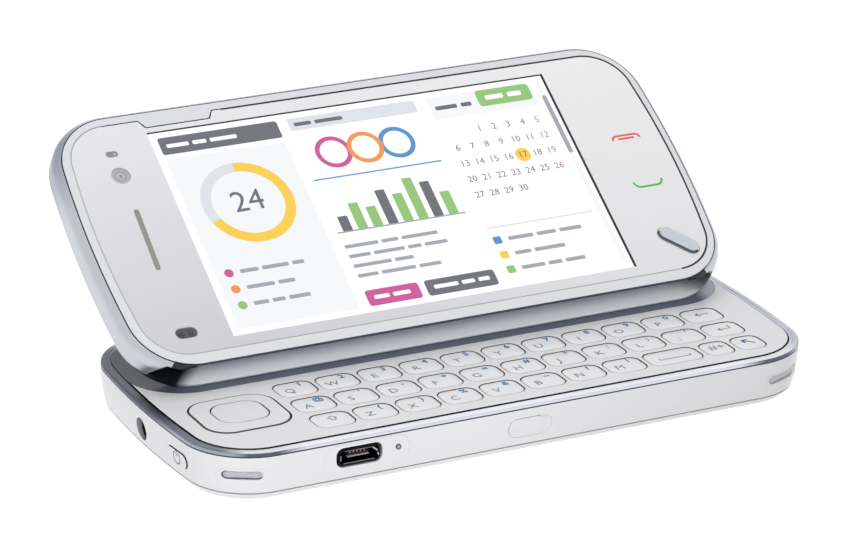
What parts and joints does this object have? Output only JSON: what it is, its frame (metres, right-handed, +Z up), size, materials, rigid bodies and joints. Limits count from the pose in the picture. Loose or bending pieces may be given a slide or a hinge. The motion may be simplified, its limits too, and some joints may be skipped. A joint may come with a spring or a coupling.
{
  "type": "slider phone",
  "caption": "Slider phone with a wide display that lifts and tilts over a three-row keyboard on two pairs of link arms.",
  "frame": {"origin": "middle of the base in plan, on the flat underside of the battery cover", "axes": "+X along the phone's length to the right of someone typing, +Y away from them, +Z up out of the keyboard"},
  "size_m": [0.1172, 0.0761, 0.0457],
  "materials": {
    "white_shell": "moulded gloss white",
    "white_panel": "moulded satin white",
    "white_key": "moulded satin white, printed legends",
    "satin_metal": "satin, lightly brushed",
    "bright_metal": "bright plated",
    "mirror_plastic": "metallised dark mirror",
    "touch_window": "clear gloss, pearl print behind, bare over the screen",
    "lcd_panel": "display panel in a steel frame",
    "hinge_steel": "rolled and stamped",
    "plated_steel": "tin plated",
    "socket_plastic": "moulded",
    "black_plastic": "moulded gloss black",
    "circuit_board": "solder mask",
    "battery_wrap": "plain wrap"
  },
  "bodies": {
    "base": {"side_shell": "white_shell", "battery_cover": "white_shell", "base_rim": "satin_metal", "keyboard_panel": "white_panel", "deck_plate": "mirror_plastic", "circuit_board": "circuit_board", "battery": "battery_wrap", "usb_socket": "plated_steel", "audio_jack": "socket_plastic", "camera_module": "black_plastic", "base_hinge_brackets": "hinge_steel"},
    "front_arms": {"front_lift_arms": "hinge_steel"},
    "rear_arms": {"rear_lift_arms": "hinge_steel"},
    "display": {"display_hinge_brackets": "hinge_steel", "display_back_shell": "satin_metal", "display_bezel": "satin_metal", "touch_window": "touch_window", "lcd_module": "lcd_panel"},
    "menu_key": {"menu_key": "bright_metal"},
    "power_key": {"power_key": "white_shell"},
    "lock_slider": {"lock_slider": "white_shell"},
    "volume_rocker": {"volume_rocker": "satin_metal"},
    "camera_key": {"camera_key": "satin_metal"},
    "camera_cover": {"camera_cover": "satin_metal"},
    "dpad_carrier": {"dpad_carrier": "hinge_steel"},
    "dpad_ring": {"dpad_ring": "white_panel"},
    "dpad_select_key": {"dpad_select_key": "white_panel"},
    "key_q": {"key_q": "white_key"},
    "key_w": {"key_w": "white_key"},
    "key_e": {"key_e": "white_key"},
    "key_r": {"key_r": "white_key"},
    "key_t": {"key_t": "white_key"},
    "key_y": {"key_y": "white_key"},
    "key_u": {"key_u": "white_key"},
    "key_i": {"key_i": "white_key"},
    "key_o": {"key_o": "white_key"},
    "key_p": {"key_p": "white_key"},
    "key_backspace": {"key_backspace": "white_key"},
    "key_a": {"key_a": "white_key"},
    "key_s": {"key_s": "white_key"},
    "key_d": {"key_d": "white_key"},
    "key_f": {"key_f": "white_key"},
    "key_g": {"key_g": "white_key"},
    "key_h": {"key_h": "white_key"},
    "key_j": {"key_j": "white_key"},
    "key_k": {"key_k": "white_key"},
    "key_l": {"key_l": "white_key"},
    "key_colon": {"key_colon": "white_key"},
    "key_enter": {"key_enter": "white_key"},
    "key_shift": {"key_shift": "white_key"},
    "key_z": {"key_z": "white_key"},
    "key_x": {"key_x": "white_key"},
    "key_c": {"key_c": "white_key"},
    "key_v": {"key_v": "white_key"},
    "key_b": {"key_b": "white_key"},
    "key_n": {"key_n": "white_key"},
    "key_m": {"key_m": "white_key"},
    "key_space": {"key_space": "white_key"},
    "key_symbols": {"key_symbols": "white_key"},
    "key_function": {"key_function": "white_key"}
  },
  "joints": [
    {"name": "front_arm_swing", "type": "hinge", "parent": "base", "child": "front_arms", "pos_m": [0, 0.01572, 0.00765], "axis": [1, 0, 0], "range_deg": [0, 102.58]},
    {"name": "display_pivot", "type": "hinge", "parent": "front_arms", "child": "display", "pos_m": [0, 0.02348, 0.02407], "axis": [1, 0, 0], "range_deg": [-136.77, 0]},
    {"name": "rear_arm_swing", "type": "hinge", "parent": "base", "child": "rear_arms", "pos_m": [0, 0.02244, 0.00765], "axis": [1, 0, 0], "range_deg": [0, 94.21]},
    {"name": "camera_cover_slide", "type": "slide", "parent": "base", "child": "camera_cover", "axis": [1, 0, 0], "range_m": [0, 0.011]},
    {"name": "lock_slide", "type": "slide", "parent": "base", "child": "lock_slider", "axis": [1, 0, 0], "range_m": [0, 0.0013], "stiffness_N_per_m": 150, "springref_m": -0.0012},
    {"name": "volume_rock", "type": "hinge", "parent": "base", "child": "volume_rocker", "pos_m": [-0.029, 0.0265, 0.00515], "axis": [0, 0, 1], "range_deg": [-1.5, 1.5], "stiffness_Nm_per_rad": 0.2},
    {"name": "camera_key_press", "type": "slide", "parent": "base", "child": "camera_key", "axis": [0, -1, 0], "range_m": [0, 0.0005], "stiffness_N_per_m": 500, "springref_m": -0.0008},
    {"name": "power_key_press", "type": "slide", "parent": "base", "child": "power_key", "axis": [0.9972, 0.075, 0], "range_m": [0, 0.00035], "stiffness_N_per_m": 500, "springref_m": -0.0008},
    {"name": "menu_key_press", "type": "slide", "parent": "display", "child": "menu_key", "axis": [0, 0.5618, -0.8273], "range_m": [0, 0.0003], "stiffness_N_per_m": 400, "springref_m": -0.0008},
    {"name": "dpad_tilt_fore_aft", "type": "hinge", "parent": "base", "child": "dpad_carrier", "pos_m": [-0.0454, -0.01115, 0.00805], "axis": [1, 0, 0], "range_deg": [-1, 1], "stiffness_Nm_per_rad": 0.05},
    {"name": "dpad_tilt_sideways", "type": "hinge", "parent": "dpad_carrier", "child": "dpad_ring", "pos_m": [-0.0454, -0.01115, 0.00805], "axis": [0, 1, 0], "range_deg": [-1, 1], "stiffness_Nm_per_rad": 0.05},
    {"name": "dpad_select_press", "type": "slide", "parent": "base", "child": "dpad_select_key", "axis": [0, 0, -1], "range_m": [0, 0.0003], "stiffness_N_per_m": 300, "springref_m": -0.0008},
    {"name": "key_q_press", "type": "slide", "parent": "base", "child": "key_q", "axis": [0, 0, -1], "range_m": [0, 0.00035], "stiffness_N_per_m": 300, "springref_m": -0.0008},
    {"name": "key_w_press", "type": "slide", "parent": "base", "child": "key_w", "axis": [0, 0, -1], "range_m": [0, 0.00035], "stiffness_N_per_m": 300, "springref_m": -0.0008},
    {"name": "key_e_press", "type": "slide", "parent": "base", "child": "key_e", "axis": [0, 0, -1], "range_m": [0, 0.00035], "stiffness_N_per_m": 300, "springref_m": -0.0008},
    {"name": "key_r_press", "type": "slide", "parent": "base", "child": "key_r", "axis": [0, 0, -1], "range_m": [0, 0.00035], "stiffness_N_per_m": 300, "springref_m": -0.0008},
    {"name": "key_t_press", "type": "slide", "parent": "base", "child": "key_t", "axis": [0, 0, -1], "range_m": [0, 0.00035], "stiffness_N_per_m": 300, "springref_m": -0.0008},
    {"name": "key_y_press", "type": "slide", "parent": "base", "child": "key_y", "axis": [0, 0, -1], "range_m": [0, 0.00035], "stiffness_N_per_m": 300, "springref_m": -0.0008},
    {"name": "key_u_press", "type": "slide", "parent": "base", "child": "key_u", "axis": [0, 0, -1], "range_m": [0, 0.00035], "stiffness_N_per_m": 300, "springref_m": -0.0008},
    {"name": "key_i_press", "type": "slide", "parent": "base", "child": "key_i", "axis": [0, 0, -1], "range_m": [0, 0.00035], "stiffness_N_per_m": 300, "springref_m": -0.0008},
    {"name": "key_o_press", "type": "slide", "parent": "base", "child": "key_o", "axis": [0, 0, -1], "range_m": [0, 0.00035], "stiffness_N_per_m": 300, "springref_m": -0.0008},
    {"name": "key_p_press", "type": "slide", "parent": "base", "child": "key_p", "axis": [0, 0, -1], "range_m": [0, 0.00035], "stiffness_N_per_m": 300, "springref_m": -0.0008},
    {"name": "key_backspace_press", "type": "slide", "parent": "base", "child": "key_backspace", "axis": [0, 0, -1], "range_m": [0, 0.00035], "stiffness_N_per_m": 300, "springref_m": -0.0008},
    {"name": "key_a_press", "type": "slide", "parent": "base", "child": "key_a", "axis": [0, 0, -1], "range_m": [0, 0.00035], "stiffness_N_per_m": 300, "springref_m": -0.0008},
    {"name": "key_s_press", "type": "slide", "parent": "base", "child": "key_s", "axis": [0, 0, -1], "range_m": [0, 0.00035], "stiffness_N_per_m": 300, "springref_m": -0.0008},
    {"name": "key_d_press", "type": "slide", "parent": "base", "child": "key_d", "axis": [0, 0, -1], "range_m": [0, 0.00035], "stiffness_N_per_m": 300, "springref_m": -0.0008},
    {"name": "key_f_press", "type": "slide", "parent": "base", "child": "key_f", "axis": [0, 0, -1], "range_m": [0, 0.00035], "stiffness_N_per_m": 300, "springref_m": -0.0008},
    {"name": "key_g_press", "type": "slide", "parent": "base", "child": "key_g", "axis": [0, 0, -1], "range_m": [0, 0.00035], "stiffness_N_per_m": 300, "springref_m": -0.0008},
    {"name": "key_h_press", "type": "slide", "parent": "base", "child": "key_h", "axis": [0, 0, -1], "range_m": [0, 0.00035], "stiffness_N_per_m": 300, "springref_m": -0.0008},
    {"name": "key_j_press", "type": "slide", "parent": "base", "child": "key_j", "axis": [0, 0, -1], "range_m": [0, 0.00035], "stiffness_N_per_m": 300, "springref_m": -0.0008},
    {"name": "key_k_press", "type": "slide", "parent": "base", "child": "key_k", "axis": [0, 0, -1], "range_m": [0, 0.00035], "stiffness_N_per_m": 300, "springref_m": -0.0008},
    {"name": "key_l_press", "type": "slide", "parent": "base", "child": "key_l", "axis": [0, 0, -1], "range_m": [0, 0.00035], "stiffness_N_per_m": 300, "springref_m": -0.0008},
    {"name": "key_colon_press", "type": "slide", "parent": "base", "child": "key_colon", "axis": [0, 0, -1], "range_m": [0, 0.00035], "stiffness_N_per_m": 300, "springref_m": -0.0008},
    {"name": "key_enter_press", "type": "slide", "parent": "base", "child": "key_enter", "axis": [0, 0, -1], "range_m": [0, 0.00035], "stiffness_N_per_m": 300, "springref_m": -0.0008},
    {"name": "key_shift_press", "type": "slide", "parent": "base", "child": "key_shift", "axis": [0, 0, -1], "range_m": [0, 0.00035], "stiffness_N_per_m": 300, "springref_m": -0.0008},
    {"name": "key_z_press", "type": "slide", "parent": "base", "child": "key_z", "axis": [0, 0, -1], "range_m": [0, 0.00035], "stiffness_N_per_m": 300, "springref_m": -0.0008},
    {"name": "key_x_press", "type": "slide", "parent": "base", "child": "key_x", "axis": [0, 0, -1], "range_m": [0, 0.00035], "stiffness_N_per_m": 300, "springref_m": -0.0008},
    {"name": "key_c_press", "type": "slide", "parent": "base", "child": "key_c", "axis": [0, 0, -1], "range_m": [0, 0.00035], "stiffness_N_per_m": 300, "springref_m": -0.0008},
    {"name": "key_v_press", "type": "slide", "parent": "base", "child": "key_v", "axis": [0, 0, -1], "range_m": [0, 0.00035], "stiffness_N_per_m": 300, "springref_m": -0.0008},
    {"name": "key_b_press", "type": "slide", "parent": "base", "child": "key_b", "axis": [0, 0, -1], "range_m": [0, 0.00035], "stiffness_N_per_m": 300, "springref_m": -0.0008},
    {"name": "key_n_press", "type": "slide", "parent": "base", "child": "key_n", "axis": [0, 0, -1], "range_m": [0, 0.00035], "stiffness_N_per_m": 300, "springref_m": -0.0008},
    {"name": "key_m_press", "type": "slide", "parent": "base", "child": "key_m", "axis": [0, 0, -1], "range_m": [0, 0.00035], "stiffness_N_per_m": 300, "springref_m": -0.0008},
    {"name": "key_space_press", "type": "slide", "parent": "base", "child": "key_space", "axis": [0, 0, -1], "range_m": [0, 0.00035], "stiffness_N_per_m": 300, "springref_m": -0.0008},
    {"name": "key_symbols_press", "type": "slide", "parent": "base", "child": "key_symbols", "axis": [0, 0, -1], "range_m": [0, 0.00035], "stiffness_N_per_m": 300, "springref_m": -0.0008},
    {"name": "key_function_press", "type": "slide", "parent": "base", "child": "key_function", "axis": [0, 0, -1], "range_m": [0, 0.00035], "stiffness_N_per_m": 300, "springref_m": -0.0008}
  ],
  "couplings": [
    {"joint": "display_pivot", "follows": "front_arm_swing", "ratio": -1.3332},
    {"joint": "rear_arm_swing", "follows": "front_arm_swing", "ratio": 0.91825}
  ]
}
